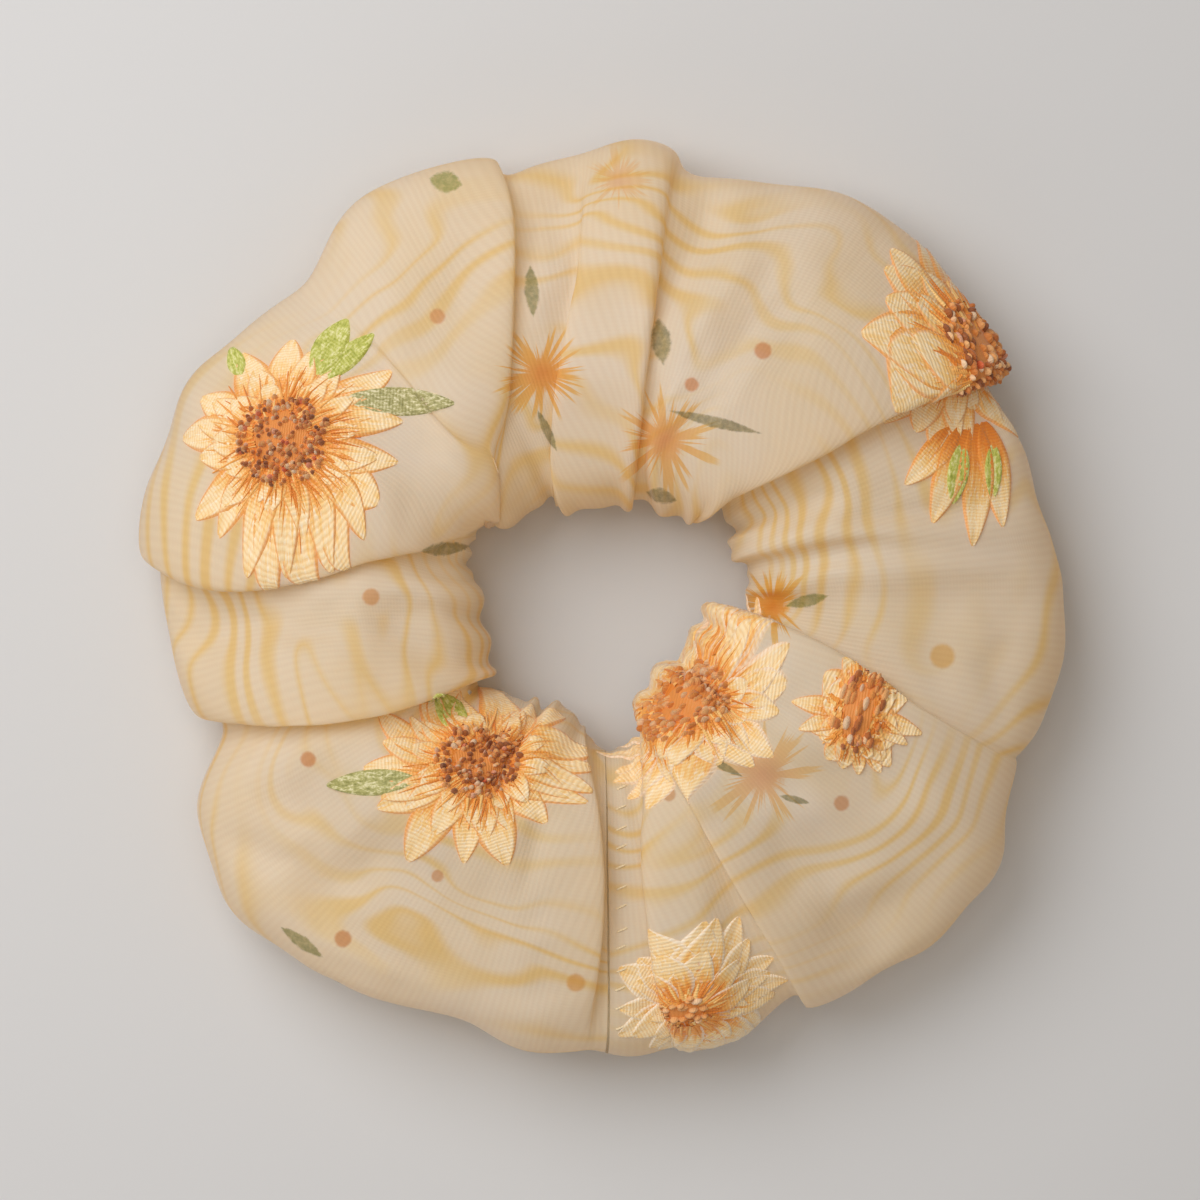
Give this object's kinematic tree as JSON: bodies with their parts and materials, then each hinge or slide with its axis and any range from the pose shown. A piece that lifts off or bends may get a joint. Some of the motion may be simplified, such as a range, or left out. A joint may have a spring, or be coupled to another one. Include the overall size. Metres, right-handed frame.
{
  "type": "scrunchie",
  "caption": "Gathered cloth hair tie: a puffed ring of thin sunflower-embroidered cloth on a hidden elastic loop, which stretches open to take hair.",
  "frame": {"origin": "middle of the ring, on the surface that it rests on", "axes": "+Z along the ring's axis, upwards; -Y towards the closing seam; +X to the right seen from above with the seam nearest"},
  "size_m": [0.117, 0.1172, 0.0236],
  "materials": {
    "cloth": "thin cream ribbed cloth with a faint yellow marbled print, soft sheen",
    "embroidery": "satin-stitched thread in orange, cream, brown and green",
    "elastic": "white braided elastic",
    "thread": "matt cream sewing thread"
  },
  "bodies": {
    "elastic": {"elastic_loop": "elastic", "elastic_lap_stitches": "thread"},
    "gather_01": {"cover_gather_01": "cloth", "sunflower_seam": "embroidery", "closing_seam_stitches": "thread"},
    "gather_02": {"cover_gather_02": "cloth"},
    "gather_03": {"cover_gather_03": "cloth", "sunflower_hole_right": "embroidery", "sunflower_small": "embroidery"},
    "gather_04": {"cover_gather_04": "cloth"},
    "gather_05": {"cover_gather_05": "cloth", "sunflower_right": "embroidery"},
    "gather_06": {"cover_gather_06": "cloth"},
    "gather_07": {"cover_gather_07": "cloth"},
    "gather_08": {"cover_gather_08": "cloth"},
    "gather_09": {"cover_gather_09": "cloth", "sunflower_left": "embroidery"},
    "gather_10": {"cover_gather_10": "cloth"},
    "gather_11": {"cover_gather_11": "cloth"},
    "gather_12": {"cover_gather_12": "cloth", "sunflower_hole_left": "embroidery"},
    "gather_13": {"cover_gather_13": "cloth"}
  },
  "joints": [
    {"name": "loop_stretch", "type": "slide", "parent": "elastic", "child": "gather_07", "axis": [0, 1, 0], "range_m": [0, 0.018], "stiffness_N_per_m": 400, "deforming": ["elastic_loop", "elastic_lap_stitches"]},
    {"name": "spread_06", "type": "slide", "parent": "gather_07", "child": "gather_06", "axis": [0.9659, -0.2588, 0], "range_m": [0, 0.00935], "stiffness_N_per_m": 300},
    {"name": "spread_05", "type": "slide", "parent": "gather_06", "child": "gather_05", "axis": [0.7071, -0.7071, 0], "range_m": [0, 0.00935], "stiffness_N_per_m": 300},
    {"name": "spread_04", "type": "slide", "parent": "gather_05", "child": "gather_04", "axis": [0.2588, -0.9659, 0], "range_m": [0, 0.00935], "stiffness_N_per_m": 300},
    {"name": "spread_03", "type": "slide", "parent": "gather_04", "child": "gather_03", "axis": [-0.2588, -0.9659, 0], "range_m": [0, 0.00935], "stiffness_N_per_m": 300},
    {"name": "spread_02", "type": "slide", "parent": "gather_03", "child": "gather_02", "axis": [-0.7071, -0.7071, 0], "range_m": [0, 0.00935], "stiffness_N_per_m": 300},
    {"name": "spread_01", "type": "slide", "parent": "gather_02", "child": "gather_01", "axis": [-0.9659, -0.2588, 0], "range_m": [0, 0.00935], "stiffness_N_per_m": 300},
    {"name": "spread_08", "type": "slide", "parent": "gather_07", "child": "gather_08", "axis": [-0.9659, -0.2588, 0], "range_m": [0, 0.00935], "stiffness_N_per_m": 300},
    {"name": "spread_09", "type": "slide", "parent": "gather_08", "child": "gather_09", "axis": [-0.7071, -0.7071, 0], "range_m": [0, 0.00935], "stiffness_N_per_m": 300},
    {"name": "spread_10", "type": "slide", "parent": "gather_09", "child": "gather_10", "axis": [-0.2588, -0.9659, 0], "range_m": [0, 0.00935], "stiffness_N_per_m": 300},
    {"name": "spread_11", "type": "slide", "parent": "gather_10", "child": "gather_11", "axis": [0.2588, -0.9659, 0], "range_m": [0, 0.00935], "stiffness_N_per_m": 300},
    {"name": "spread_12", "type": "slide", "parent": "gather_11", "child": "gather_12", "axis": [0.7071, -0.7071, 0], "range_m": [0, 0.00935], "stiffness_N_per_m": 300},
    {"name": "spread_13", "type": "slide", "parent": "gather_12", "child": "gather_13", "axis": [0.9659, -0.2588, 0], "range_m": [0, 0.00935], "stiffness_N_per_m": 300}
  ],
  "couplings": [
    {"joint": "spread_06", "follows": "loop_stretch", "ratio": 0.51764},
    {"joint": "spread_05", "follows": "loop_stretch", "ratio": 0.51764},
    {"joint": "spread_04", "follows": "loop_stretch", "ratio": 0.51764},
    {"joint": "spread_03", "follows": "loop_stretch", "ratio": 0.51764},
    {"joint": "spread_02", "follows": "loop_stretch", "ratio": 0.51764},
    {"joint": "spread_01", "follows": "loop_stretch", "ratio": 0.51764},
    {"joint": "spread_08", "follows": "loop_stretch", "ratio": 0.51764},
    {"joint": "spread_09", "follows": "loop_stretch", "ratio": 0.51764},
    {"joint": "spread_10", "follows": "loop_stretch", "ratio": 0.51764},
    {"joint": "spread_11", "follows": "loop_stretch", "ratio": 0.51764},
    {"joint": "spread_12", "follows": "loop_stretch", "ratio": 0.51764},
    {"joint": "spread_13", "follows": "loop_stretch", "ratio": 0.51764}
  ]
}
